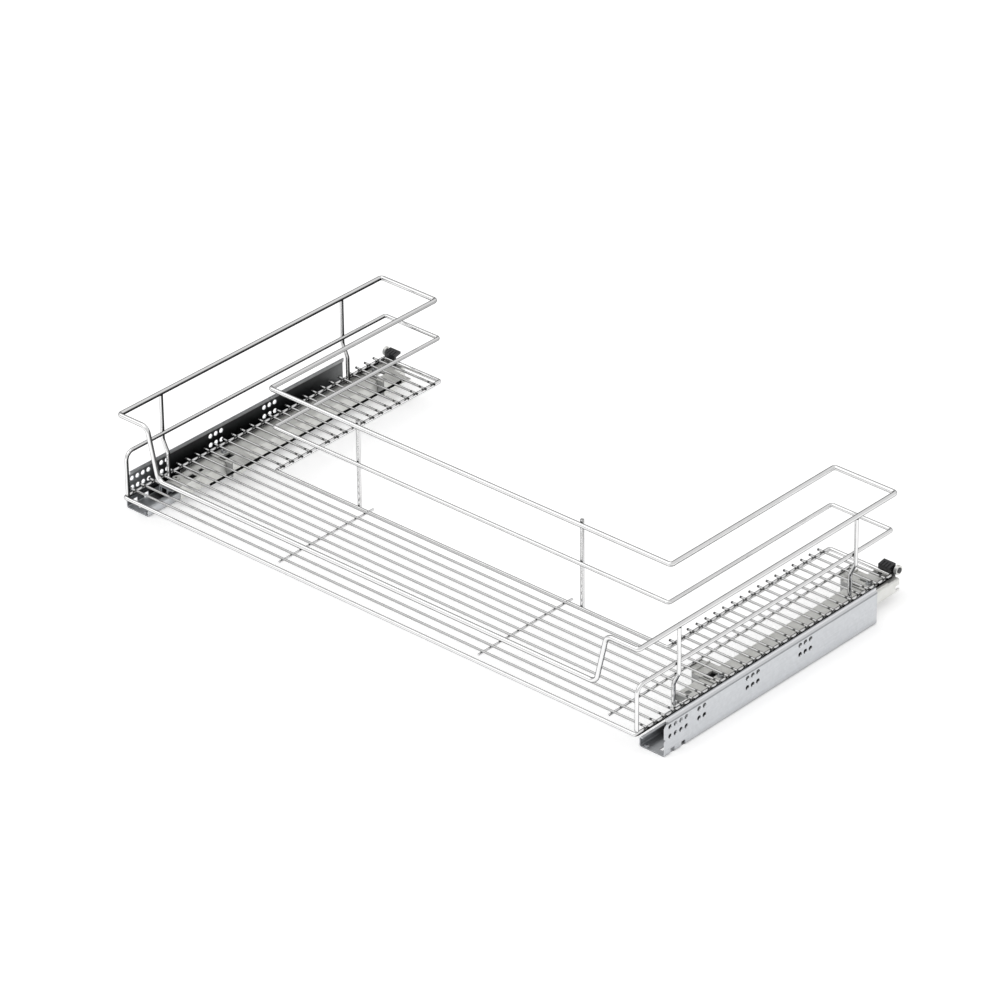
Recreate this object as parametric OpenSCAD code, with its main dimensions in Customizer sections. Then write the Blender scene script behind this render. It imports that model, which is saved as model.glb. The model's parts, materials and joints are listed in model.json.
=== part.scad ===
// Pull-out wire basket for an under-sink cabinet, on two concealed runners.
// Origin: middle of the width and of the depth, at the underside of the cabinet rails.
// X to the right, Y to the back of the cabinet, Z up. All lengths are in millimetres.

/* [Overall sizes] */
// width over the two cabinet rails: the clear width of a 900 cabinet with 18 sides
cabinet_w = 864; // [564:2:1164]
// depth of the basket over its frame bars
basket_d = 472; // [400:2:520]
// height of the base frame's bar centre above the underside of the rails
frame_h = 33; // [30:0.5:40]
// height of the top rail's bar centre above the base frame's
top_rise = 114.4; // [80:0.2:160]
// height of the middle rail's bar centre above the base frame's
middle_rise = 61.5; // [40:0.5:90]
// height of the top rail's dip at the front above the base frame
dip_rise = 46; // [30:1:70]

/* [Basket plan] */
// gap from the cabinet side to the top rail's bar centre
top_side_gap = 19.5; // [12:0.5:40]
// gap from the cabinet side to the middle rail's bar centre
middle_side_gap = 24.5; // [12:0.5:40]
// gap from the cabinet side to the base frame's bar centre
frame_side_gap = 22.5; // [12:0.5:40]
// width of each arm between bar centres at the base frame
arm_w = 94.5; // [60:0.5:160]
// width of each arm between bar centres at the middle rail
middle_arm_w = 91.5; // [60:0.5:160]
// width of each arm between bar centres at the top rail
top_arm_w = 93; // [60:0.5:160]
// depth of the front tray, from the basket's front to the recess bar's centre
tray_d = 170; // [120:1:260]
// inset of the middle rail's front legs
leg_inset = 6.6; // [5:0.1:20]

/* [Bars] */
// thickness of the top rail
top_bar = 6; // [4:0.5:10]
// thickness of the middle rail and of the base frame
frame_bar = 5; // [3:0.5:8]
// thickness of the posts
post_bar = 5; // [3:0.5:8]
// thickness of the floor wires and stiffeners
floor_wire = 3; // [2:0.5:5]
// number of gaps between floor wires along the depth
floor_gap_n = 29; // [18:1:40]
// inside radius of the bends that stay level, at the corners in plan
plan_bend = 1; // [0.5:0.5:20]
// radius to the bar's middle of the bends that lead up or down
rise_bend = 11; // [8:1:30]
// overhang of the floor wires past the base frame's bar centres
wire_overhang = 5.5; // [3:0.5:10]

/* [Dip of the top rail] */
// distance from the middle to the dip's upper bends
dip_top_x = 365.5; // [150:0.5:380]
// distance from the middle to the dip's lower bends
dip_low_x = 349.5; // [120:0.5:370]

/* [Posts and stiffeners] */
// depth of the front side posts
post_front_y = 74.5; // [40:0.5:120]
// gap from the rear side posts to the basket's rear
post_rear_gap = 76.5; // [50:0.5:150]
// drop from the middle rail to the upper bend of a side post
crank_start = 11.5; // [8:0.5:30]
// height of a side post's crank
crank_rise = 17; // [10:1:30]
// bend radius of the posts
post_bend = 10; // [6:1:20]
// distance from the middle to the posts behind the recess
back_post_x = 179; // [80:1:280]
// how far these posts stand above the top rail
post_nib = 1.5; // [0:0.5:5]
// distance from the middle to the tray stiffeners
tray_stiff_x = 160; // [60:1:280]
// gap from the cabinet side to the left arm's stiffener
left_stiff_gap = 81; // [66:1:110]
// gap from the cabinet side to the right arm's stiffener
right_stiff_gap = 72; // [66:1:110]
// gap from the basket's front to the front ends of the right arm's and the tray's stiffeners
stiff_front = 12; // [8:0.5:30]
// gap from the basket's front to the front end of the left arm's stiffener
left_stiff_front = 92; // [8:1:150]
// how far the tray stiffeners run past the recess bar's centre
stiff_past = 9; // [5:0.5:15]
// gap from the right arm stiffener's rear end to the basket's rear
right_stiff_rear = 13; // [8:0.5:40]
// gap from the left arm stiffener's rear end to the basket's rear
left_stiff_rear = 36; // [8:0.5:40]

/* [Runner sheet] */
// thickness of the runner's sheet steel
sheet = 1.4; // [1:0.1:2]
// height of the cabinet rail's flange
flange_h = 49; // [44:0.5:60]
// width of the cabinet rail
rail_w = 38; // [34:0.5:50]
// height of the cabinet rail's inner wall
inner_wall_h = 13; // [10:0.5:16]
// height of the flange's set-back lip
lip_h = 5; // [3:0.5:8]
// set-back of that lip
lip_back = 2; // [1:0.5:4]
// bend radius of the sheet, to its middle
sheet_bend = 2; // [1:0.1:4]
// gap from the basket's front to the cabinet rail's front end
rail_front = 27; // [10:0.5:60]
// length of the cabinet rail
rail_len = 386.5; // [300:0.5:450]
// how far the drawer member's rear end stands behind the basket
drawer_past = 3; // [1:0.5:6]
// length of the drawer member
drawer_len = 369.5; // [300:0.5:420]
// gap from the cabinet side to the drawer member's inner wall
drawer_in = 51.5; // [42:0.5:60]
// length of the catch plate in front of the left drawer member
catch_len = 36; // [20:1:50]

/* [Fixing holes in the flange] */
// diameter of the fixing holes
hole_d = 6.4; // [4:0.1:8]
// distance between neighbouring holes of a group
hole_step = 9.5; // [8:0.1:16]
// distance between the two rows
row_step = 12.6; // [10:0.1:20]
// height of the lower row
row_h = 24.6; // [18:0.1:32]
// gap from the rail's front end to the first hole
first_hole = 9.6; // [7:0.1:40]
// the cabinet maker's raster, by which the groups are set apart
raster = 32; // [16:16:64]

/* [Brackets] */
// thickness of the bracket sheet
bracket_t = 1.5; // [1:0.1:3]
// length of each bracket along the runner
bracket_len = 32; // [20:1:60]
// depth of the front bracket
bracket_front_y = 149.5; // [80:0.5:200]
// gap from the rear bracket's front wall to the basket's rear
bracket_rear_gap = 48.5; // [40:0.5:100]
// gap from the cabinet side to the bracket's inner wall
bracket_reach = 63.5; // [56:0.5:80]
// height of the bracket's walls below its top plate
bracket_drop = 18; // [10:1:22]

/* [Travel] */
// how far the basket slides out
travel = 380; // [250:5:400]

/* [Hidden] */
$fn = 48;

// Clearances and one shared overrun for cuts.
run_gap = 0.3;
side_play = 0.8;
over = 2;

// A bend of a bar is this much fatter than its straights, which run this far into it.
swell = 0.02;
bite = 0.4;

// Small sizes of the cabinet rail.
inner_lip_w = 5.5;
lip_start = 5;
corner_cut = 5;
lug_len = 14;
lug_reach = 9;
lug_spacing = 110;
last_lug_gap = 30;
tongue_from_side = 28;
tongue_w = 4;
tongue_h = 2.4;
tongue_start = 2;
floor_slot = [5, 8];
floor_slot_from_side = 10;
floor_slot_start = 8;
relief = [7, 7.5];
relief_starts = [10.5, 29.5];
edge_notch = 4;
notch_below_row = 3;
stem_from_side = 21;

// Closing buffer.
buffer_len = 8;
buffer_w = 18;
stem_d = 5;
stem_back = 4.2;

// Middle member, from the cabinet side inwards.
mid_front_gap = 40;
foot_gap = 3.6;
inner_foot_gap = 1.4;
web_from_side = 20;
web_w = 10;
web_reach = 40;
hem_drop = 7;
web_slot = [6, 14];
web_slot_gap = 12;
web_slot_step = 22;

// Rollers and their cages.
roller_d = 6.6;
roller_n = 6;
lower_roller_len = 26;
upper_roller_len = 10;
cage_t = 3.2;
cage_gap = 2;
upper_cage_gap = 1.2;
cage_front_gap = 8;
upper_cage_front_gap = 1;
pocket_play = 0.4;

// Drawer member.
drawer_from_side = 15;
hook_gap = 1.2;
wall_past = 1;
square_hole = [6.5, 7.5];
square_hole_start = 7;
square_hole_from_side = 37;
rear_hole = [6, 7];
rear_hole_gap = 2;
rear_notch = [7, 5];
rear_notch_rise = 5;

// Screws of the brackets.
screw_from_side = 33;
screw_d = 5;
screw_head_d = 8.5;
screw_head_h = 2.4;
cross_slot_w = 1.2;

// Brackets.
plate_from_side = 17;
window = [10.3, 11];
window_from_side = 38.2;
window_start = 8;
front_slot = [11.5, 3.4];
front_slot_from_side = 37;
tab_edge = 4;
tab_past = 4;

// Catch plate in front of the left drawer member.
catch_from_side = 28;
catch_window = [9.5, 10];
catch_window_edge = 2;
catch_slot = [12, 2.5];
catch_slot_start = 20;
catch_strap_w = 9;
catch_strap_lap = 12;
catch_knob_d = 9;
catch_knob_h = 2.2;
catch_knob_hole = 3.6;
catch_knob_at = [5, 11.5];

// Rear hook.
plug_len = 12;
hook_from_side = 24;
hook_w = 17.5;
hook_t = 3.5;
leg_w = 6;
hook_rise = 12;
hook_front = 8;
nose_t = 3;
nose_above_bar = 1;
hook_slope = 2;
rib_w = 1.2;
rib_n = 4;

// Ring on the hook's pin.
ring_from_side = 17;
ring_reach = 7.6;
ring_d = 12;
ring_hole_d = 7.6;
ring_t = 4;
pin_d = 7;
pin_past = 1;
pin_rise = 5.4;

// Heights of the bars.
half_w = cabinet_w / 2;
top_z = frame_h + top_rise;
middle_z = frame_h + middle_rise;
dip_z = frame_h + dip_rise;
floor_z = frame_h + frame_bar / 2 + floor_wire / 2;
stiff_z = floor_z - floor_wire;

// Plan of the bars.
top_x = half_w - top_side_gap;
middle_x = half_w - middle_side_gap;
frame_x = half_w - frame_side_gap;
top_in = top_x - top_arm_w;
middle_in = middle_x - middle_arm_w;
frame_in = frame_x - arm_w;
frame_front = frame_bar / 2;
frame_rear = basket_d - frame_bar / 2;
wire_pitch = (frame_rear - frame_front) / floor_gap_n;
tray_wires_n = floor((tray_d - frame_bar / 2 - floor_wire / 2 - frame_front) / wire_pitch);
low_post_x = frame_x - frame_bar / 2 - post_bar / 2;
post_rear_y = basket_d - post_rear_gap;

// Lengths of the runner, from the basket's front; the ring on the rear hook reaches furthest back.
rail_rear = rail_front + rail_len;
drawer_rear = basket_d + drawer_past;
drawer_front = drawer_rear - drawer_len;
overall_d = drawer_rear + ring_reach;
mid_front = rail_front + mid_front_gap;
mid_rear = rail_rear - buffer_len;
lower_cage_y = [rail_front + travel / 4 + cage_front_gap, mid_rear - travel / 4 - run_gap];
upper_cage_y = [mid_front + travel / 4 + upper_cage_front_gap,
    drawer_rear - plug_len - travel / 4 - cage_front_gap];

// Members of the runner, stacked from the rail's floor to the frame's underside.
drawer_top = frame_h - frame_bar / 2 - bracket_t;
mid_foot_z = sheet + roller_d + 2 * run_gap;
mid_top = drawer_top - sheet - roller_d - 2 * run_gap;
lower_roller_z = sheet + run_gap + roller_d / 2;
upper_roller_z = mid_top + run_gap + roller_d / 2;

// Depth of the rear brackets, which stand near the basket's rear.
bracket_rear_y = basket_d - bracket_rear_gap;

// Widths of the runner's members, counted from the cabinet side.
web_end = web_from_side + web_w + sheet;
hem_from_side = drawer_from_side + sheet + side_play;
lower_cage_u = [sheet + cage_gap, rail_w - sheet - cage_gap];
upper_cage_u = [drawer_from_side + sheet + upper_cage_gap, drawer_in - sheet - upper_cage_gap];
lower_roller_u = (rail_w - lower_roller_len) / 2;
upper_roller_u = (hem_from_side + web_end - upper_roller_len) / 2;

// Colours of the real materials.
chrome_col = [0.86, 0.87, 0.88];
zinc_col = [0.74, 0.75, 0.77];
plate_col = [0.66, 0.66, 0.63];
black_col = [0.09, 0.09, 0.10];

// Small vector helpers.
function unit(v) = v / norm(v);
function bend_angle(a, b) = acos(max(-1, min(1, unit(a) * unit(b))));
function bend_back(a, b, r) = r * tan(bend_angle(a, b) / 2);
function wrap(i, n) = (i + n) % n;

// Stands the depth, counted from the basket's front, round the origin.
module placed() {
    translate([0, -overall_d / 2, 0]) children();
}

// Gap from the cabinet side to the stiffener of one arm.
function arm_stiff_gap(side) = side == "left" ? left_stiff_gap : right_stiff_gap;

// Places a piece drawn from the left cabinet side inwards, on either side.
module on_side(side) {
    if (side == "right") {
        mirror([1, 0, 0]) translate([-half_w, 0, 0]) children();
    } else {
        translate([-half_w, 0, 0]) children();
    }
}

// Turns a piece so that its X and Y point along the two given directions.
module turned(ex, ey) {
    ez = cross(ex, ey);
    if (abs(ex.z) > 0.999) {
        rotate([ex.z > 0 ? atan2(-ey.x, ey.y) : atan2(ey.x, ey.y), ex.z > 0 ? -90 : 90, 0]) children();
    } else {
        rotate([atan2(ey.z, ez.z), -asin(ex.z), atan2(ex.y, ex.x)]) children();
    }
}

// One straight round bar between two points.
module rod(a, b, d) {
    v = b - a;
    translate(a)
        rotate([0, acos(v.z / norm(v)), atan2(v.y, v.x)])
            cylinder(h = norm(v), d = d);
}

// One bend of a bar, round the corner p between the directions a and b.
module elbow(p, a, b, r, d) {
    ua = unit(a);
    ub = unit(b);
    inward = unit(ub - ua * (ua * ub));
    start = p - ua * bend_back(a, b, r);
    translate(start + inward * r)
        turned(-inward, ua)
            rotate_extrude(angle = bend_angle(a, b))
                translate([r, 0]) circle(d = d + 2 * swell);
}

// A round bar bent along a path of corner points, open or closed to a ring.
module bent_bar(pts, rising_r, d, closed = false) {
    n = len(pts);
    function is_end(i) = !closed && (i == 0 || i == n - 1);
    function before(i) = pts[i] - pts[wrap(i - 1, n)];
    function after(i) = pts[wrap(i + 1, n)] - pts[i];
    function radius(i) = before(i).z == 0 && after(i).z == 0 ? plan_bend + d / 2 : rising_r;
    function cut(i) = is_end(i) ? 0 : bend_back(before(i), after(i), radius(i));
    union() {
        for (i = [0 : closed ? n - 1 : n - 2]) {
            j = wrap(i + 1, n);
            u = unit(pts[j] - pts[i]);
            rod(pts[i] + u * max(0, cut(i) - bite), pts[j] - u * max(0, cut(j) - bite), d);
        }
        for (i = [0 : n - 1]) {
            if (!is_end(i)) {
                elbow(pts[i], before(i), after(i), radius(i), d);
            }
        }
    }
}

// Sheet folded along a path across the runner, run from y0 to y1.
module folded(pts, r, y0, y1) {
    n = len(pts);
    run = y1 - y0;
    function cut(i) = (i == 0 || i == n - 1) ? 0 : bend_back(pts[i] - pts[i - 1], pts[i + 1] - pts[i], r);
    translate([0, y1, 0]) rotate([90, 0, 0]) union() {
        for (i = [0 : n - 2]) {
            u = unit(pts[i + 1] - pts[i]);
            a = pts[i] + u * cut(i);
            b = pts[i + 1] - u * cut(i + 1);
            translate([a.x, a.y, 0])
                rotate([0, 0, atan2(u.y, u.x)])
                    translate([0, -sheet / 2, 0]) cube([norm(b - a), sheet, run]);
        }
        for (i = [1 : n - 2]) {
            ua = unit(pts[i] - pts[i - 1]);
            ub = unit(pts[i + 1] - pts[i]);
            left_turn = ua.x * ub.y - ua.y * ub.x > 0;
            start = pts[i] - ua * cut(i);
            inward = left_turn ? [-ua.y, ua.x] : [ua.y, -ua.x];
            centre = start + inward * r;
            from = left_turn ? atan2(ua.y, ua.x) - 90 : atan2(ub.y, ub.x) + 90;
            translate([centre.x, centre.y, 0])
                rotate([0, 0, from])
                    rotate_extrude(angle = bend_angle(ua, ub))
                        translate([r - sheet / 2, 0]) square([sheet, run]);
        }
    }
}

// Depths of the fixing holes, counted from the rail's front end.
group_a = [for (i = [0 : 3]) first_hole + i * hole_step];
group_b = [for (i = [2 : 3]) first_hole + i * hole_step + raster];
group_c = [for (i = [1 : 3]) first_hole + i * hole_step + 4 * raster];
group_d = [for (y = group_c) y + 3 * raster];

// Cabinet rail.
module cabinet_rail(side) {
    half = sheet / 2;
    lip_foot = flange_h - lip_h - lip_back;
    color(zinc_col) placed() on_side(side) difference() {
        union() {
            folded([[half, lip_foot + half], [half, half], [rail_w - half, half],
                [rail_w - half, inner_wall_h - half], [rail_w - inner_lip_w, inner_wall_h - half]],
                sheet_bend, rail_front, rail_rear);
            // lip, set back from the flange's face
            translate([0, rail_rear, 0]) rotate([90, 0, 0])
                linear_extrude(rail_len - lip_start) polygon([
                    [0, lip_foot - lip_back], [sheet, lip_foot - lip_back], [sheet, lip_foot],
                    [sheet + lip_back, lip_foot + lip_back], [sheet + lip_back, flange_h],
                    [lip_back, flange_h], [lip_back, lip_foot + 2 * lip_back], [0, lip_foot + lip_back]]);
            // lugs pressed in over the middle member's outer foot
            for (y = [rail_front + lug_spacing, rail_front + 2 * lug_spacing, rail_rear - last_lug_gap]) {
                translate([half, y, inner_wall_h - sheet]) cube([lug_reach - half, lug_len, sheet]);
            }
            // stop tongue bent up from the floor
            translate([tongue_from_side, rail_front + tongue_start, half]) cube([tongue_w, sheet, tongue_h]);
        }
        for (row = [0 : 1]) {
            for (y = concat(group_a, group_b, group_c, group_d)) {
                translate([-over, rail_front + y, row_h + row * row_step])
                    rotate([0, 90, 0]) cylinder(h = sheet + 2 * over, d = hole_d);
            }
        }
        // window that the stop tongue leaves in the floor
        translate([tongue_from_side, rail_front + tongue_start + sheet, -over])
            cube([tongue_w, tongue_h + sheet, sheet + 2 * over]);
        // slot in the floor beside the flange
        translate([floor_slot_from_side, rail_front + floor_slot_start, -over])
            cube([floor_slot.x, floor_slot.y, sheet + 2 * over]);
        // reliefs along the lower edge near the front
        for (y = relief_starts) {
            translate([-over, rail_front + y, -over]) cube([over + sheet_bend, relief.x, relief.y + over]);
        }
        // round notch in the front edge
        translate([-over, rail_front, row_h - notch_below_row])
            rotate([0, 90, 0]) cylinder(h = sheet + 2 * over, d = edge_notch);
        // slanted front corner below the lip
        translate([-over, rail_front, lip_foot + half]) rotate([90, 0, 90])
            linear_extrude(2 * over + sheet) polygon([
                [-over, -corner_cut - over], [corner_cut + over, over], [-over, over]]);
        // hole of the closing buffer's stem
        translate([stem_from_side, mid_rear + stem_back, -over])
            cylinder(h = sheet + 2 * over, d = stem_d);
    }
}

// Closing buffer with a stem through the rail's floor.
module closing_buffer(side) {
    start = mid_rear + run_gap;
    color(black_col) placed() on_side(side) union() {
        translate([stem_from_side - buffer_w / 2, start, sheet])
            cube([buffer_w, rail_rear - start, mid_foot_z]);
        translate([stem_from_side, mid_rear + stem_back, 0]) cylinder(h = 2 * sheet, d = stem_d);
    }
}

// Middle member: a hat with feet, whose turned-down edge the drawer member hooks under.
module middle_member(side) {
    run = mid_rear - mid_front;
    outer_foot = sheet + foot_gap;
    inner_foot = rail_w - sheet - inner_foot_gap;
    web_rear = web_from_side + web_w;
    color(zinc_col) placed() on_side(side) translate([0, mid_front, 0]) difference() {
        union() {
            translate([outer_foot, 0, mid_foot_z]) cube([web_from_side + sheet - outer_foot, run, sheet]);
            translate([web_rear, 0, mid_foot_z]) cube([inner_foot - web_rear, run, sheet]);
            for (u = [web_from_side, web_rear]) {
                translate([u, 0, mid_foot_z]) cube([sheet, run, mid_top - mid_foot_z]);
            }
            translate([hem_from_side, 0, mid_top - sheet]) cube([web_reach - hem_from_side, run, sheet]);
            translate([hem_from_side, 0, mid_top - hem_drop]) cube([sheet, run, hem_drop]);
        }
        // slots in the top web near the front, and one at the rear
        for (y = [web_slot_gap, web_slot_gap + web_slot_step, run - web_slot_gap - web_slot.y]) {
            translate([(web_from_side + web_end - web_slot.x) / 2, y, mid_top - sheet - over])
                cube([web_slot.x, web_slot.y, sheet + 2 * over]);
        }
    }
}

// Depth of roller number i in a cage between the two given ends.
function roller_y(ends, i) = ends[0] + (i + 0.5) * (ends[1] - ends[0]) / roller_n;

// Roller cage: a strip with a pocket for each roller, drawn at height z.
module cage(ends, across, roller_u, roller_len, z) {
    difference() {
        translate([across[0], ends[0], z - cage_t / 2])
            cube([across[1] - across[0], ends[1] - ends[0], cage_t]);
        for (i = [0 : roller_n - 1]) {
            translate([roller_u - pocket_play, roller_y(ends, i) - roller_d / 2 - pocket_play, z - cage_t])
                cube([roller_len + 2 * pocket_play, roller_d + 2 * pocket_play, 2 * cage_t]);
        }
    }
}

// Rollers whose thin journals reach the ends of the pockets.
module cage_rollers(ends, roller_u, roller_len, z) {
    for (i = [0 : roller_n - 1]) {
        translate([roller_u, roller_y(ends, i), z]) rotate([0, 90, 0]) union() {
            cylinder(h = roller_len, d = roller_d);
            translate([0, 0, -pocket_play]) cylinder(h = roller_len + 2 * pocket_play, d = roller_d / 2);
        }
    }
}

module lower_cage(side) {
    color(black_col) placed() on_side(side)
        cage(lower_cage_y, lower_cage_u, lower_roller_u, lower_roller_len, lower_roller_z);
}

module lower_rollers(side) {
    color(plate_col) placed() on_side(side)
        cage_rollers(lower_cage_y, lower_roller_u, lower_roller_len, lower_roller_z);
}

module upper_cage(side) {
    color(black_col) placed() on_side(side)
        cage(upper_cage_y, upper_cage_u, upper_roller_u, upper_roller_len, upper_roller_z);
}

module upper_rollers(side) {
    color(plate_col) placed() on_side(side)
        cage_rollers(upper_cage_y, upper_roller_u, upper_roller_len, upper_roller_z);
}

// Drawer member: a folded cover over the middle member.
module drawer_member(side) {
    half = sheet / 2;
    lip_z = mid_top - hem_drop - hook_gap - half;
    color(plate_col) placed() on_side(side) difference() {
        folded([[web_from_side - run_gap, lip_z], [drawer_from_side + half, lip_z],
            [drawer_from_side + half, drawer_top - half], [drawer_in - half, drawer_top - half],
            [drawer_in - half, inner_wall_h - wall_past]],
            sheet_bend, drawer_front, drawer_rear);
        translate([square_hole_from_side, drawer_front + square_hole_start, drawer_top - sheet - over])
            cube([square_hole.x, square_hole.y, sheet + 2 * over]);
        for (y = [bracket_front_y, bracket_rear_y]) {
            translate([screw_from_side, y + bracket_len / 2, drawer_top - sheet - over])
                cylinder(h = sheet + 2 * over, d = screw_d);
            // openings under the bracket's window and slot
            translate([window_from_side, y + window_start, drawer_top - sheet - over])
                cube([window.x, window.y, sheet + 2 * over]);
            translate([front_slot_from_side, y + bracket_t, drawer_top - sheet - over])
                cube([front_slot.x, front_slot.y, sheet + 2 * over]);
        }
        // hole in the top near the rear end
        translate([square_hole_from_side, drawer_rear - rear_hole_gap - rear_hole.y, drawer_top - sheet - over])
            cube([rear_hole.x, rear_hole.y, sheet + 2 * over]);
        // notch in the outer wall's rear end
        translate([drawer_from_side - over, drawer_rear - rear_notch.x, lip_z - half + rear_notch_rise])
            cube([2 * over, rear_notch.x + over, rear_notch.y]);
    }
}

// Pressed bracket: a top plate over the drawer member with walls that reach down beside it.
module bracket(side, y) {
    top = drawer_top + bracket_t;
    wall_z = top - bracket_drop;
    wall_from_side = drawer_in + run_gap;
    tab_z = stiff_z - floor_wire / 2 - bracket_t;
    color(plate_col) placed() on_side(side) translate([0, y, 0]) difference() {
        union() {
            translate([plate_from_side, 0, drawer_top])
                cube([bracket_reach - plate_from_side, bracket_len, bracket_t]);
            // front and rear walls
            for (wall_y = [0, bracket_len - bracket_t]) {
                translate([wall_from_side, wall_y, wall_z])
                    cube([bracket_reach - wall_from_side, bracket_t, bracket_drop]);
            }
            // inner wall, and the tab under the arm stiffener
            translate([bracket_reach - bracket_t, 0, wall_z])
                cube([bracket_t, bracket_len, tab_z + bracket_t - wall_z]);
            translate([bracket_reach - bracket_t, tab_edge, tab_z])
                cube([arm_stiff_gap(side) + tab_past - bracket_reach, bracket_len - 2 * tab_edge, bracket_t]);
        }
        translate([window_from_side, window_start, drawer_top - over])
            cube([window.x, window.y, bracket_t + 2 * over]);
        translate([screw_from_side, bracket_len / 2, drawer_top - over])
            cylinder(h = bracket_t + 2 * over, d = screw_d);
        // slot behind the front wall
        translate([front_slot_from_side, bracket_t, drawer_top - over])
            cube([front_slot.x, front_slot.y, bracket_t + 2 * over]);
    }
}

// Pan-head screws that hold the two brackets of one side.
module bracket_screws(side) {
    seat_z = drawer_top + bracket_t;
    end_z = upper_roller_z + cage_t / 2 + side_play;
    color(zinc_col) placed() on_side(side) union() {
        for (y = [bracket_front_y, bracket_rear_y]) {
            translate([screw_from_side, y + bracket_len / 2, 0]) difference() {
                union() {
                    translate([0, 0, seat_z])
                        cylinder(h = screw_head_h, d1 = screw_head_d, d2 = screw_head_d * 0.8);
                    translate([0, 0, end_z]) cylinder(h = seat_z - end_z, d = screw_d);
                }
                // cross slot
                for (turn = [0, 90]) {
                    translate([0, 0, seat_z + screw_head_h / 2]) rotate([0, 0, turn])
                        translate([-screw_head_d / 4, -cross_slot_w / 2, 0])
                            cube([screw_head_d / 2, cross_slot_w, screw_head_h]);
                }
            }
        }
    }
}

// Catch plate: a pressed plate that stands in front of the left drawer member, strapped under its top.
module catch_plate() {
    front = drawer_front - catch_len;
    plate_z = drawer_top - sheet;
    run = catch_len - run_gap;
    knob_x = catch_from_side + catch_knob_at.x;
    color(plate_col) placed() on_side("left") translate([0, front, 0]) difference() {
        union() {
            translate([catch_from_side, 0, plate_z]) cube([drawer_in - catch_from_side, run, sheet]);
            translate([drawer_in - sheet, 0, inner_wall_h - wall_past])
                cube([sheet, run, plate_z + sheet - inner_wall_h + wall_past]);
            // strap under the drawer member's top
            translate([catch_from_side, run - catch_strap_lap, plate_z - sheet])
                cube([catch_strap_w, 2 * catch_strap_lap, sheet]);
            translate([knob_x, catch_knob_at.y, plate_z]) cylinder(h = sheet + catch_knob_h, d = catch_knob_d);
        }
        translate([knob_x, catch_knob_at.y, plate_z + sheet])
            cylinder(h = catch_knob_h + over, d = catch_knob_hole);
        // square opening at the inner rear corner, and the slot in front of it
        translate([drawer_in - sheet - catch_window_edge - catch_window.x,
            run - catch_window_edge - catch_window.y, plate_z - over])
            cube([catch_window.x, catch_window.y, sheet + 2 * over]);
        translate([drawer_in - sheet - catch_window_edge - catch_slot.x, catch_slot_start, plate_z - over])
            cube([catch_slot.x, catch_slot.y, sheet + 2 * over]);
    }
}

// Black plastic end piece of the drawer member, whose nose holds the base frame's rear bar down.
module rear_hook(side) {
    inside = [drawer_from_side + sheet + side_play, drawer_in - sheet - side_play];
    plug_h = drawer_top - sheet - mid_top - side_play;
    foot_z = mid_top + side_play;
    top = frame_h + hook_rise;
    nose_z = frame_h + frame_bar / 2 + nose_above_bar;
    color(black_col) placed() on_side(side) translate([0, drawer_rear, 0]) union() {
        // plug inside the member's end
        translate([inside[0], -plug_len, drawer_top - sheet - plug_h])
            cube([inside[1] - inside[0], plug_len + hook_t / 2, plug_h]);
        // narrow leg behind the member's end
        translate([hook_from_side, 0, foot_z]) cube([leg_w, hook_t, top - hook_slope - foot_z]);
        // sloping top with a nose over the bar
        difference() {
            translate([hook_from_side, 0, 0]) rotate([90, 0, 90]) linear_extrude(hook_w) polygon([
                [hook_t, top - nose_t], [hook_t, top], [-hook_front, top - hook_slope],
                [-hook_front, nose_z], [nose_t - hook_front, nose_z],
                [nose_t - hook_front, top - hook_slope - nose_t]]);
            // grooves between the ribs of the top
            for (i = [1 : rib_n - 1]) {
                translate([hook_from_side + i * hook_w / rib_n - rib_w / 2, -hook_front - over,
                    top - hook_slope - rib_w])
                    cube([rib_w, hook_front + over, nose_t + over]);
            }
        }
        // pin of the ring
        translate([ring_from_side - pin_past, ring_reach - ring_d / 2, frame_h + pin_rise])
            rotate([0, 90, 0]) cylinder(h = hook_from_side + pin_past + over - ring_from_side, d = pin_d);
    }
}

// Steel ring on the hook's pin.
module hook_ring(side) {
    color(plate_col) placed() on_side(side)
        translate([ring_from_side, drawer_rear + ring_reach - ring_d / 2, frame_h + pin_rise])
            rotate([0, 90, 0]) difference() {
                cylinder(h = ring_t, d = ring_d);
                translate([0, 0, -over]) cylinder(h = ring_t + 2 * over, d = ring_hole_d);
            }
}

// Top rail, dipping at the front.
module top_rail() {
    front = top_bar / 2;
    rear = basket_d - top_bar / 2;
    recess = tray_d - (top_bar - frame_bar) / 2;
    color(chrome_col) placed() bent_bar([
        [-top_x, front, top_z], [-dip_top_x, front, top_z], [-dip_low_x, front, dip_z],
        [dip_low_x, front, dip_z], [dip_top_x, front, top_z], [top_x, front, top_z],
        [top_x, rear, top_z], [top_in, rear, top_z], [top_in, recess, top_z],
        [-top_in, recess, top_z], [-top_in, rear, top_z], [-top_x, rear, top_z]],
        rise_bend, top_bar, closed = true);
}

// Middle rail, whose front ends stand on the base frame's corners.
module middle_rail() {
    foot = frame_h + frame_bar / 2;
    color(chrome_col) placed() bent_bar([
        [-middle_x, leg_inset, foot], [-middle_x, leg_inset, middle_z],
        [-middle_x, frame_rear, middle_z], [-middle_in, frame_rear, middle_z],
        [-middle_in, tray_d, middle_z], [middle_in, tray_d, middle_z],
        [middle_in, frame_rear, middle_z], [middle_x, frame_rear, middle_z],
        [middle_x, leg_inset, middle_z], [middle_x, leg_inset, foot]],
        rise_bend, frame_bar);
}

// Base frame.
module base_frame() {
    color(chrome_col) placed() bent_bar([
        [-frame_x, frame_front, frame_h], [frame_x, frame_front, frame_h],
        [frame_x, frame_rear, frame_h], [frame_in, frame_rear, frame_h],
        [frame_in, tray_d, frame_h], [-frame_in, tray_d, frame_h],
        [-frame_in, frame_rear, frame_h], [-frame_x, frame_rear, frame_h]],
        rise_bend, frame_bar, closed = true);
}

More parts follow.
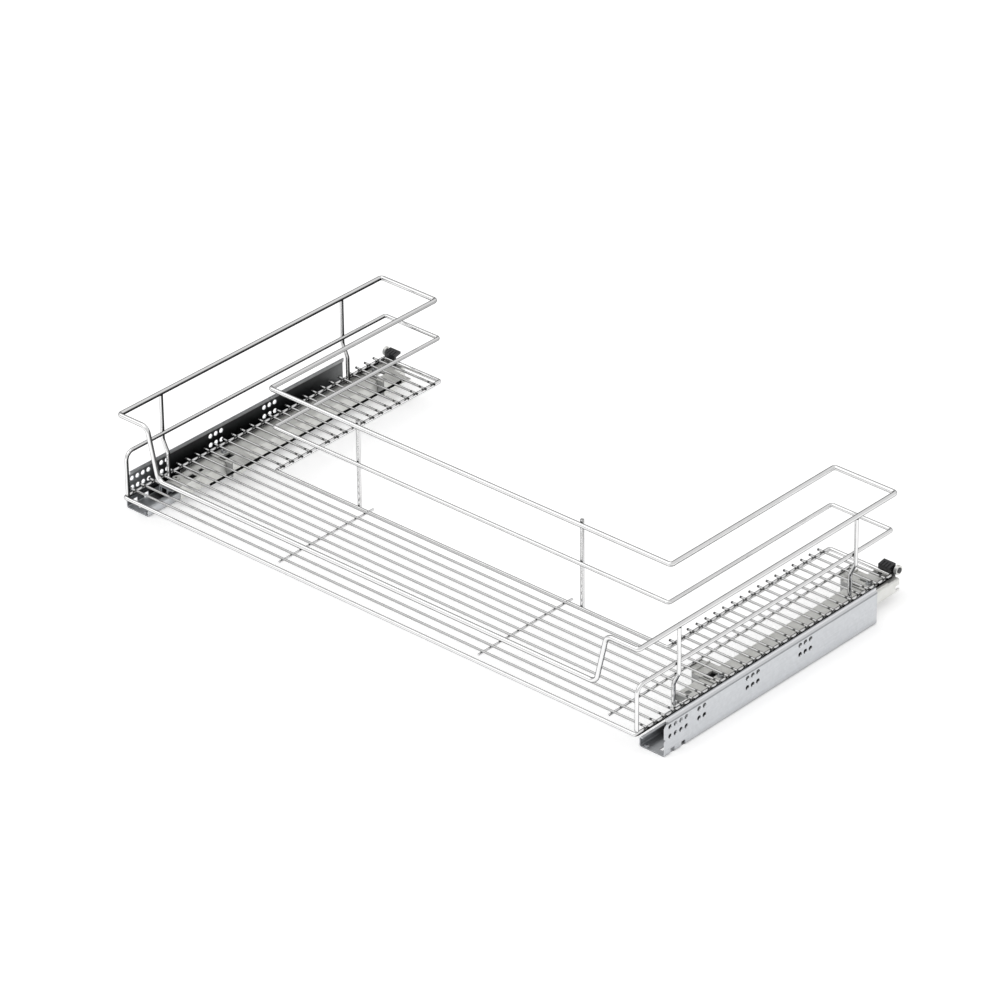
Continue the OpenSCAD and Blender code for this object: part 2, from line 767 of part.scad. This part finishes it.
// Floor wires from x0 to x1, numbered by the gaps between them.
module floor_wires(x0, x1, first, last) {
    for (i = [first : last]) {
        y = frame_front + i * wire_pitch;
        rod([x0, y, floor_z], [x1, y, floor_z], floor_wire);
    }
}

module tray_floor_wires() {
    reach = frame_x + wire_overhang;
    color(chrome_col) placed() floor_wires(-reach, reach, 1, tray_wires_n);
}

module left_arm_wires() {
    color(chrome_col) placed()
        floor_wires(-frame_x - wire_overhang, -frame_in + wire_overhang, tray_wires_n + 1, floor_gap_n - 1);
}

module right_arm_wires() {
    color(chrome_col) placed()
        floor_wires(frame_in - wire_overhang, frame_x + wire_overhang, tray_wires_n + 1, floor_gap_n - 1);
}

// Stiffeners under the floor wires; the tray's cross the recess bar, where they are welded.
module tray_stiffeners() {
    color(chrome_col) placed() for (x = [-tray_stiff_x, tray_stiff_x]) {
        rod([x, stiff_front, stiff_z], [x, tray_d + stiff_past, stiff_z], floor_wire);
    }
}

module arm_stiffener(side) {
    gap = arm_stiff_gap(side);
    front = side == "left" ? left_stiff_front : stiff_front;
    rear = basket_d - (side == "left" ? left_stiff_rear : right_stiff_rear);
    color(chrome_col) placed() on_side(side)
        rod([gap, front, stiff_z], [gap, rear, stiff_z], floor_wire);
}

// Cranked side post, outside the middle rail and inside the base frame.
module side_post(side, y) {
    upper = top_side_gap;
    lower = half_w - low_post_x;
    crank_z = middle_z - crank_start;
    color(chrome_col) placed() on_side(side) bent_bar([
        [upper, y, top_z - top_bar / 2], [upper, y, crank_z],
        [lower, y, crank_z - crank_rise], [lower, y, frame_h - frame_bar / 2]],
        post_bend, post_bar);
}

// Straight post behind the recess bars.
module back_post(x) {
    y = tray_d + frame_bar / 2 + post_bar / 2;
    color(chrome_col) placed()
        rod([x, y, frame_h - frame_bar / 2], [x, y, top_z + top_bar / 2 + post_nib], post_bar);
}

cabinet_rail("left");  // cabinet_rail_left
cabinet_rail("right");  // cabinet_rail_right
closing_buffer("left");  // closing_buffer_left
closing_buffer("right");  // closing_buffer_right
middle_member("left");  // middle_member_left
middle_member("right");  // middle_member_right
lower_cage("left");  // lower_cage_left
lower_cage("right");  // lower_cage_right
lower_rollers("left");  // lower_rollers_left
lower_rollers("right");  // lower_rollers_right
upper_cage("left");  // upper_cage_left
upper_cage("right");  // upper_cage_right
upper_rollers("left");  // upper_rollers_left
upper_rollers("right");  // upper_rollers_right
drawer_member("left");  // drawer_member_left
drawer_member("right");  // drawer_member_right
bracket("left", bracket_front_y);  // front_bracket_left
bracket("right", bracket_front_y);  // front_bracket_right
bracket("left", bracket_rear_y);  // rear_bracket_left
bracket("right", bracket_rear_y);  // rear_bracket_right
bracket_screws("left");  // bracket_screws_left
bracket_screws("right");  // bracket_screws_right
catch_plate();  // catch_plate_left
rear_hook("left");  // rear_hook_left
rear_hook("right");  // rear_hook_right
hook_ring("left");  // hook_ring_left
hook_ring("right");  // hook_ring_right
top_rail();
middle_rail();
base_frame();
tray_floor_wires();
left_arm_wires();
right_arm_wires();
tray_stiffeners();
arm_stiffener("left");  // left_arm_stiffener
arm_stiffener("right");  // right_arm_stiffener
side_post("left", post_front_y);  // side_post_front_left
side_post("right", post_front_y);  // side_post_front_right
side_post("left", post_rear_y);  // side_post_rear_left
side_post("right", post_rear_y);  // side_post_rear_right
back_post(-back_post_x);  // back_post_left
back_post(back_post_x);  // back_post_right
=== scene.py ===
"""Pull-out wire basket on two concealed runners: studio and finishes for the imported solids."""

import json
import math

import bpy
from mathutils import Matrix, Vector

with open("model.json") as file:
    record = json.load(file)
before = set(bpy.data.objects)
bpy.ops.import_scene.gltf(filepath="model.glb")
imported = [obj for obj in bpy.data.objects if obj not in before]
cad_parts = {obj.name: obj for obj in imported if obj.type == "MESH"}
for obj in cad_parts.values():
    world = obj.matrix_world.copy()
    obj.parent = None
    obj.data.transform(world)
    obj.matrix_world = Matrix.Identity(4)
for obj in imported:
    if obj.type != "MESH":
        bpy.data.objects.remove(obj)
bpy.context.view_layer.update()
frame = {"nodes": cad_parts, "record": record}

NODES = frame["nodes"]
MM = 0.001

# Camera, at the photograph's viewing angle
VIEW_AZIMUTH = math.radians(42.07)
VIEW_ELEVATION = math.radians(30.157)
VIEW_ROLL = math.radians(-0.586)
VIEW_DISTANCE = 6.93
VIEW_CENTRE = Vector((0, -0.0138, 0.093))
LENS = 208.63
SENSOR = 36
FRAME_SHIFT = (0.00178, -0.00465)

# Studio
FLOOR_SIZE = 40
FLOOR_COLOUR = (0.86, 0.86, 0.86)
FLOOR_LIFT = 0.36
SKY_FILL = 0.8
FAR_END = Vector((-0.72, 0.68, 0.1)).normalized()
FAR_SPAN = (0.78, 0.97)
FAR_FILL = 0.28
LAMP_PLACE = (-1.0, -1.2, 3.2)
LAMP_SIZE = (4.0, 4.0)
LAMP_WATTS = 36

# Painted shade on the inner and lower side of the left arm's parts, which the photograph shows dark
SHADED_SIDE = Vector((0.7, 0.35, -0.65)).normalized()
# Where that dark begins and is full, from the middle to the left
ARM_SPAN = (-0.25, -0.38)
BASE_ARM_SPAN = (-0.33, -0.39)
# Where the base frame's bar beside the right rail begins
RIGHT_BAR_SPAN = (0.395, 0.4)
ARM_SHADE_DEPTH = 0.97
# Strength of the painted shade on the undersides of bars
UNDERSIDE_SHADE_DEPTH = 0.3

# Half-widths at which the base frame's outer and inner bars run, and the wires cross them
BASE_SIDE = 409.5 * MM
BASE_INNER = 315 * MM
# Distances from a crossed bar's middle between which a wire gets painted shade, each with its soft edge
CROSSING_SHADE_START = (0.0022, 0.003)
CROSSING_SHADE_END = (0.0066, 0.0054)
# Half-width past which the cut ends of the wires get painted shade
CUT_END_SPAN = (0.3, 0.305)

# Chrome: painted dark reflection at the rims, only towards grazing angles, so that no bar turns dark across
# its whole width
PAINTED_RIM_SPAN = (0.46, 0.85)
# Tone of the painted shade on the chrome's undersides and on the left arm's parts
CHROME_SHADE_TONE = (0.012, 0.012, 0.013, 1)
# Tone of the painted shade in the chrome's corners
CORNER_SHADE_TONE = (0.012, 0.012, 0.012, 1)
CHROME_EDGE_TINT = (0.04, 0.04, 0.042, 1)

# Cabinet rail: height at which the flange steps back into its lip, and of the flange's top
LIP_FOOT = 42 * MM
LIP_TOP = 48.5 * MM
# Left to right, where the left rail's flange stands
FLANGE_SPAN = (-0.424, -0.428)


def rgb(red, green, blue):
    """A colour of 0 to 255 steps, as the shader wants it."""
    def linear(step):
        share = step / 255
        return share / 12.92 if share <= 0.04045 else ((share + 0.055) / 1.055) ** 2.4
    return (linear(red), linear(green), linear(blue), 1)


# Camera
def add_camera():
    camera_data = bpy.data.cameras.new("camera")
    camera_data.lens = LENS
    camera_data.sensor_width = SENSOR
    camera_data.shift_x, camera_data.shift_y = FRAME_SHIFT
    camera_data.clip_end = 100
    camera = bpy.data.objects.new("camera", camera_data)
    bpy.context.scene.collection.objects.link(camera)
    sin_a, cos_a = math.sin(VIEW_AZIMUTH), math.cos(VIEW_AZIMUTH)
    sin_e, cos_e = math.sin(VIEW_ELEVATION), math.cos(VIEW_ELEVATION)
    back = Vector((sin_a * cos_e, -cos_a * cos_e, sin_e))
    level = Vector((cos_a, sin_a, 0))
    upward = back.cross(level)
    right = math.cos(VIEW_ROLL) * level + math.sin(VIEW_ROLL) * upward
    up = math.cos(VIEW_ROLL) * upward - math.sin(VIEW_ROLL) * level
    turn = Matrix((right, up, back)).transposed().to_4x4()
    camera.matrix_world = Matrix.Translation(VIEW_CENTRE + VIEW_DISTANCE * back) @ turn
    bpy.context.scene.camera = camera


# Small helpers for shader trees
def put(tree, kind, values=None, **settings):
    """A node with its settings, and with its inputs set to values or joined to other nodes."""
    made = tree.nodes.new(kind)
    for name, setting in settings.items():
        setattr(made, name, setting)
    for socket, value in (values or {}).items():
        if isinstance(value, bpy.types.NodeSocket):
            tree.links.new(value, made.inputs[socket])
        else:
            made.inputs[socket].default_value = value
    return made


def math_node(tree, operation, first, second=0.0):
    return put(tree, "ShaderNodeMath", {0: first, 1: second}, operation=operation).outputs[0]


def times(tree, first, second):
    return math_node(tree, "MULTIPLY", first, second)


def stronger(tree, first, second):
    return math_node(tree, "MAXIMUM", first, second)


def ramp(tree, value, start, end, low=0.0, high=1.0):
    """A smooth step from low at start to high at end."""
    made = put(tree, "ShaderNodeMapRange", {
        "Value": value, "From Min": start, "From Max": end, "To Min": low, "To Max": high},
        interpolation_type="SMOOTHSTEP")
    return made.outputs["Result"]


def blend(tree, share, first, second):
    made = put(tree, "ShaderNodeMix", {"Factor": share, "A": first, "B": second}, data_type="RGBA")
    return made.outputs["Result"]


def place_on_part(tree):
    """X, Y and Z of the shaded point, in metres from the part's origin."""
    place = put(tree, "ShaderNodeTexCoord").outputs["Object"]
    return put(tree, "ShaderNodeSeparateXYZ", {"Vector": place}).outputs


def surface_way(tree):
    """X, Y and Z of the way that the surface looks."""
    normal = put(tree, "ShaderNodeNewGeometry").outputs["Normal"]
    return put(tree, "ShaderNodeSeparateXYZ", {"Vector": normal}).outputs


def corners(tree, reach, start, end, depth):
    """The share of painted shade in tight corners and beside touching pieces."""
    near = put(tree, "ShaderNodeAmbientOcclusion", {"Distance": reach}, samples=4)
    return ramp(tree, near.outputs["AO"], start, end, 0, depth)


def add_bump(tree, shader, strength, distance, height):
    bump = put(tree, "ShaderNodeBump", {"Strength": strength, "Distance": distance, "Height": height})
    tree.links.new(bump.outputs[0], shader.inputs["Normal"])


def new_group(name, inputs, outputs):
    """A node group whose inputs are pairs of a name and a number."""
    tree = bpy.data.node_groups.new(name, "ShaderNodeTree")
    for label, default in inputs:
        socket = tree.interface.new_socket(label, in_out="INPUT", socket_type="NodeSocketFloat")
        socket.default_value = default
    for label in outputs:
        tree.interface.new_socket(label, in_out="OUTPUT", socket_type="NodeSocketFloat")
    return tree, tree.nodes.new("NodeGroupInput").outputs, tree.nodes.new("NodeGroupOutput").inputs


def use_group(tree, group, **values):
    made = put(tree, "ShaderNodeGroup", node_tree=group)
    for label, value in values.items():
        made.inputs[label.replace("_", " ")].default_value = value
    return made.outputs


def seen_directly(tree):
    """1 for the rays that show the background: from the camera, off metal and through glass."""
    path = tree.nodes.new("ShaderNodeLightPath")
    either = stronger(tree, path.outputs["Is Camera Ray"], path.outputs["Is Glossy Ray"])
    return stronger(tree, either, path.outputs["Is Transmission Ray"])


# Studio
def add_floor():
    bpy.ops.mesh.primitive_plane_add(size=FLOOR_SIZE)
    floor = bpy.context.object
    floor.name = "studio_floor"
    paper = bpy.data.materials.new("pale_paper")
    paper.use_nodes = True
    tree = paper.node_tree
    tree.nodes.clear()
    lift = times(tree, seen_directly(tree), FLOOR_LIFT)
    diffuse = put(tree, "ShaderNodeBsdfDiffuse", {"Color": (*FLOOR_COLOUR, 1)})
    glow = put(tree, "ShaderNodeEmission", {"Strength": lift})
    both = put(tree, "ShaderNodeAddShader", {0: diffuse.outputs[0], 1: glow.outputs[0]})
    put(tree, "ShaderNodeOutputMaterial", {"Surface": both.outputs[0]})
    floor.data.materials.append(paper)


def add_lamp(name, place, size, watts):
    lamp_data = bpy.data.lights.new(name, "AREA")
    lamp_data.shape = "RECTANGLE"
    lamp_data.size, lamp_data.size_y = size
    lamp_data.energy = watts
    lamp = bpy.data.objects.new(name, lamp_data)
    bpy.context.scene.collection.objects.link(lamp)
    lamp.location = place
    lamp.rotation_euler = (-Vector(place)).to_track_quat("-Z", "Y").to_euler()


def add_world():
    """A pale room with a darker far end, which the chrome mirrors."""
    world = bpy.data.worlds.new("studio")
    bpy.context.scene.world = world
    world.use_nodes = True
    tree = world.node_tree
    background = tree.nodes["Background"]
    background.inputs["Color"].default_value = (1, 1, 1, 1)
    way = put(tree, "ShaderNodeTexCoord").outputs["Generated"]
    aimed = put(tree, "ShaderNodeVectorMath", {0: way, 1: FAR_END}, operation="DOT_PRODUCT")
    strength = ramp(tree, aimed.outputs["Value"], *FAR_SPAN, SKY_FILL, FAR_FILL)
    tree.links.new(strength, background.inputs["Strength"])


# Shared effects
def make_underside_shade():
    """Painted shade where a bar looks down, darker towards its underside."""
    tree, given, out = new_group("painted_underside_shade", (("Depth", 0.35),), ("Underside Shade",))
    below = ramp(tree, surface_way(tree)["Z"], -0.05, -0.6)
    tree.links.new(times(tree, below, given["Depth"]), out["Underside Shade"])
    return tree


def make_arm_shade():
    """Painted shade on the inner and lower sides of the left arm's parts and of the bar beside the right
    rail.
    """
    tree, given, out = new_group("arm_shade", (
        ("Depth", 0.9), ("From", 0.1), ("To", 0.55), ("Beside Rail", 0.0),
        ("Arm Inner", ARM_SPAN[0]), ("Arm Outer", ARM_SPAN[1])), ("Shade",))
    normal = put(tree, "ShaderNodeNewGeometry").outputs["Normal"]
    turned = put(tree, "ShaderNodeVectorMath", {0: normal, 1: SHADED_SIDE}, operation="DOT_PRODUCT")
    side = ramp(tree, turned.outputs["Value"], given["From"], given["To"])
    across = place_on_part(tree)["X"]
    arm = ramp(tree, across, given["Arm Inner"], given["Arm Outer"])
    beside = times(tree, ramp(tree, across, *RIGHT_BAR_SPAN), given["Beside Rail"])
    shade = times(tree, side, stronger(tree, arm, beside))
    tree.links.new(times(tree, shade, given["Depth"]), out["Shade"])
    return tree


def make_band():
    """1 between two heights, fading over a soft edge: for creases, lips and the line along the foot."""
    tree, given, out = new_group("height_band", (("From", 0.0), ("To", 0.01), ("Edge", 0.0004)), ("Band",))
    height = place_on_part(tree)["Z"]
    above = math_node(tree, "SUBTRACT", height, given["From"])
    below = math_node(tree, "SUBTRACT", given["To"], height)
    inside = math_node(tree, "MINIMUM", math_node(tree, "DIVIDE", above, given["Edge"]),
                       math_node(tree, "DIVIDE", below, given["Edge"]))
    tree.links.new(put(tree, "ShaderNodeClamp", {"Value": inside}).outputs[0], out["Band"])
    return tree


def make_mottle():
    """Uneven film over a finish, from broad patches and fine grain."""
    tree, given, out = new_group("mottled_film", (("Patch Size", 40.0), ("Grain Size", 900.0)),
                                 ("Patches", "Grain"))
    place = put(tree, "ShaderNodeTexCoord").outputs["Object"]
    patches = put(tree, "ShaderNodeTexNoise", {
        "Vector": place, "Scale": given["Patch Size"], "Detail": 3.0, "Roughness": 0.6})
    grain = put(tree, "ShaderNodeTexNoise", {
        "Vector": place, "Scale": given["Grain Size"], "Detail": 2.0, "Roughness": 0.5})
    tree.links.new(patches.outputs[0], out["Patches"])
    tree.links.new(grain.outputs[0], out["Grain"])
    return tree


def make_rolled():
    """Rolling lines along the depth of the sheet, with faint zinc flowers."""
    tree, given, out = new_group("rolled_sheet", (("Line Spacing", 900.0), ("Flower Size", 260.0)),
                                 ("Lines", "Flowers"))
    place = put(tree, "ShaderNodeTexCoord").outputs["Object"]
    drawn = put(tree, "ShaderNodeMapping", {"Vector": place, "Scale": (1.0, 0.02, 1.0)})
    lines = put(tree, "ShaderNodeTexNoise", {
        "Vector": drawn.outputs[0], "Scale": given["Line Spacing"], "Detail": 4.0, "Roughness": 0.6})
    flowers = put(tree, "ShaderNodeTexVoronoi", {"Vector": place, "Scale": given["Flower Size"]})
    shade = put(tree, "ShaderNodeSeparateColor", {"Color": flowers.outputs["Color"]})
    tree.links.new(lines.outputs[0], out["Lines"])
    tree.links.new(shade.outputs[0], out["Flowers"])
    return tree


# Finishes
def new_finish(name, metallic, roughness):
    material = bpy.data.materials.new(name)
    material.use_nodes = True
    tree = material.node_tree
    shader = tree.nodes["Principled BSDF"]
    shader.inputs["Metallic"].default_value = metallic
    shader.inputs["Roughness"].default_value = roughness
    return material, tree, shader


def crossing_shade(tree, dark, crossings):
    """Adds painted shade on the wires' cut ends and on both sides of each bar that they cross."""
    across = math_node(tree, "ABSOLUTE", place_on_part(tree)["X"])
    end = ramp(tree, math_node(tree, "ABSOLUTE", surface_way(tree)["X"]), 0.7, 0.9)
    dark = stronger(tree, dark, times(tree, end, ramp(tree, across, *CUT_END_SPAN)))
    for bar in crossings:
        away = math_node(tree, "ABSOLUTE", math_node(tree, "SUBTRACT", across, bar))
        shade_beside_bar = times(tree, ramp(tree, away, *CROSSING_SHADE_START), ramp(tree, away, *CROSSING_SHADE_END))
        dark = stronger(tree, dark, times(tree, shade_beside_bar, 0.85))
    return dark


def chrome(name, bright=0.86, edge=0.1, shade_span=(0.08, 0.45), beside_rail=0.0, arm_span=ARM_SPAN,
           crossings=()):
    material, tree, shader = new_finish(name, 1, 0.08)
    film = use_group(tree, MOTTLE, Patch_Size=55.0, Grain_Size=1400.0)
    dull = bright * 0.96
    patches = ramp(tree, film["Patches"], 0.35, 0.65)
    tone = blend(tree, patches, (dull, dull, dull, 1), (bright, bright, bright, 1))
    # Painted shade on the undersides and on the left arm's parts
    underside_shade = use_group(tree, UNDERSIDE_SHADE_GROUP, Depth=UNDERSIDE_SHADE_DEPTH)["Underside Shade"]
    shade = use_group(tree, ARM_SHADE, Depth=ARM_SHADE_DEPTH, From=shade_span[0], To=shade_span[1],
                      Beside_Rail=beside_rail, Arm_Inner=arm_span[0], Arm_Outer=arm_span[1])["Shade"]
    tone = blend(tree, stronger(tree, underside_shade, shade), tone, CHROME_SHADE_TONE)
    # Painted dark reflection at the rims, in the tone given as edge
    turned = put(tree, "ShaderNodeLayerWeight", {"Blend": 0.5}).outputs["Facing"]
    tone = blend(tree, ramp(tree, turned, *PAINTED_RIM_SPAN), tone, (edge, edge, edge * 1.03, 1))
    # Painted shade in corners and where wires touch bars
    dark = corners(tree, 4 * MM, 0.75, 0.3, 0.85)
    if crossings:
        dark = crossing_shade(tree, dark, crossings)
    tree.links.new(blend(tree, dark, tone, CORNER_SHADE_TONE), shader.inputs["Base Color"])
    shader.inputs["Specular Tint"].default_value = CHROME_EDGE_TINT
    tree.links.new(ramp(tree, film["Grain"], 0.3, 0.8, 0.05, 0.13), shader.inputs["Roughness"])
    add_bump(tree, shader, 0.04, 0.2 * MM, film["Grain"])
    return material


def zinc():
    material, tree, shader = new_finish("zinc_sheet", 1, 0.38)
    sheet = use_group(tree, ROLLED)
    tone = blend(tree, sheet["Flowers"], rgb(203, 205, 208), rgb(210, 212, 215))
    tone = blend(tree, ramp(tree, sheet["Lines"], 0.35, 0.7, 0, 0.3), tone, rgb(192, 194, 197))
    # Painted highlight on the lip, and painted shade in the crease under it and along the foot
    lip = use_group(tree, BAND, From=LIP_FOOT + 0.0022, To=LIP_TOP)["Band"]
    tone = blend(tree, lip, tone, rgb(220, 221, 223))
    crease = use_group(tree, BAND, From=LIP_FOOT - 0.0004, To=LIP_FOOT + 0.0022, Edge=0.0006)["Band"]
    foot = use_group(tree, BAND, From=-0.001, To=0.0011)["Band"]
    tone = blend(tree, times(tree, stronger(tree, crease, foot), 0.6), tone, rgb(70, 72, 74))
    # Painted shade on the inner face of the left flange, weaker at the top, the front and the rear
    place = place_on_part(tree)
    shade = use_group(tree, ARM_SHADE, Depth=1.0, From=0.4, To=0.62)["Shade"]
    upward = ramp(tree, place["Z"], 0.012, 0.05, 1.0, 0.82)
    forward = ramp(tree, place["Y"], -0.18, -0.13, 0.4, 1.0)
    rearward = ramp(tree, place["Y"], 0.06, 0.175, 1.0, 0.72)
    depth = times(tree, times(tree, upward, forward), rearward)
    below_lip = math_node(tree, "SUBTRACT", 1.0, lip)
    flange = times(tree, ramp(tree, place["X"], *FLANGE_SPAN), below_lip)
    tone = blend(tree, times(tree, times(tree, shade, depth), flange), tone, rgb(30, 31, 33))
    # Painted shade in corners and hollows of the sheet
    tone = blend(tree, corners(tree, 20 * MM, 0.6, 0.1, 0.75), tone, rgb(28, 30, 32))
    tree.links.new(tone, shader.inputs["Base Color"])
    tree.links.new(ramp(tree, sheet["Lines"], 0.3, 0.7, 0.32, 0.44), shader.inputs["Roughness"])
    add_bump(tree, shader, 0.05, 0.2 * MM, sheet["Lines"])
    return material


def plated():
    material, tree, shader = new_finish("plated_sheet", 0.6, 0.33)
    film = use_group(tree, MOTTLE, Patch_Size=70.0, Grain_Size=1500.0)
    tone = blend(tree, ramp(tree, film["Patches"], 0.35, 0.65), rgb(226, 226, 222), rgb(234, 234, 231))
    # Painted shade on the faces that look to the front
    front_shade = ramp(tree, surface_way(tree)["Y"], -0.4, -0.9, 0, 0.8)
    tone = blend(tree, front_shade, tone, rgb(142, 143, 144))
    # Painted shade in corners
    tone = blend(tree, corners(tree, 8 * MM, 0.55, 0.15, 0.85), tone, rgb(30, 28, 27))
    tree.links.new(tone, shader.inputs["Base Color"])
    tree.links.new(ramp(tree, film["Grain"], 0.3, 0.7, 0.36, 0.46), shader.inputs["Roughness"])
    return material


def patchy(name, metallic, roughness, dark, light, **film_sizes):
    """A finish whose colour wanders between two tones in broad patches."""
    material, tree, shader = new_finish(name, metallic, roughness)
    film = use_group(tree, MOTTLE, **film_sizes)
    tree.links.new(blend(tree, film["Patches"], dark, light), shader.inputs["Base Color"])
    return material, tree, shader, film


def rollers():
    return patchy("ground_steel", 1, 0.25, rgb(160, 160, 160), rgb(182, 182, 182))[0]


def black_plastic():
    material, tree, shader, film = patchy("black_plastic", 0, 0.3, rgb(22, 22, 24), rgb(38, 38, 41),
                                          Patch_Size=120.0, Grain_Size=2500.0)
    tree.links.new(ramp(tree, film["Grain"], 0.3, 0.7, 0.2, 0.38), shader.inputs["Roughness"])
    add_bump(tree, shader, 0.2, 0.3 * MM, film["Grain"])
    return material


def black_rubber():
    return patchy("black_rubber", 0, 0.7, rgb(18, 18, 18), rgb(32, 32, 32),
                  Patch_Size=90.0, Grain_Size=1800.0)[0]


# Pieces whose finish is a variant of their slot's, with more painted shade
OWN_FINISH = {
    "base_frame": "base_bar",
    "tray_floor_wires": "tray_wire", "left_arm_wires": "arm_wire", "right_arm_wires": "arm_wire",
    "left_arm_stiffener": "arm_stiffener",
}


def dress():
    finishes = {
        "chrome_wire": chrome("chrome_wire"),
        # The base frame: painted shade also on the bar beside the right rail
        "base_bar": chrome("chrome_base_bar", beside_rail=1, shade_span=(0.15, 0.45),
                           arm_span=BASE_ARM_SPAN),
        # The wires: darker copies of the chrome, as painted shade
        "tray_wire": chrome("chrome_tray_wire", bright=0.56, crossings=(BASE_SIDE,)),
        "arm_wire": chrome("chrome_arm_wire", bright=0.56, crossings=(BASE_SIDE, BASE_INNER)),
        # The left stiffener: chrome painted nearly black, as painted shade
        "arm_stiffener": chrome("chrome_left_stiffener", bright=0.012, edge=0.0),
        "zinc_steel": zinc(),
        "plated_steel": plated(),
        "roller_steel": rollers(),
        "black_plastic": black_plastic(),
        "black_rubber": black_rubber(),
    }
    for part in frame["record"]["subparts"]:
        mesh = NODES[part["node"]].data
        mesh.materials.clear()
        mesh.materials.append(finishes[OWN_FINISH.get(part["node"], part["material_slot"])])


add_camera()
add_floor()
add_world()
add_lamp("softbox_above", LAMP_PLACE, LAMP_SIZE, LAMP_WATTS)
bpy.context.scene.view_settings.view_transform = "Standard"

UNDERSIDE_SHADE_GROUP = make_underside_shade()
ARM_SHADE = make_arm_shade()
BAND = make_band()
MOTTLE = make_mottle()
ROLLED = make_rolled()
dress()
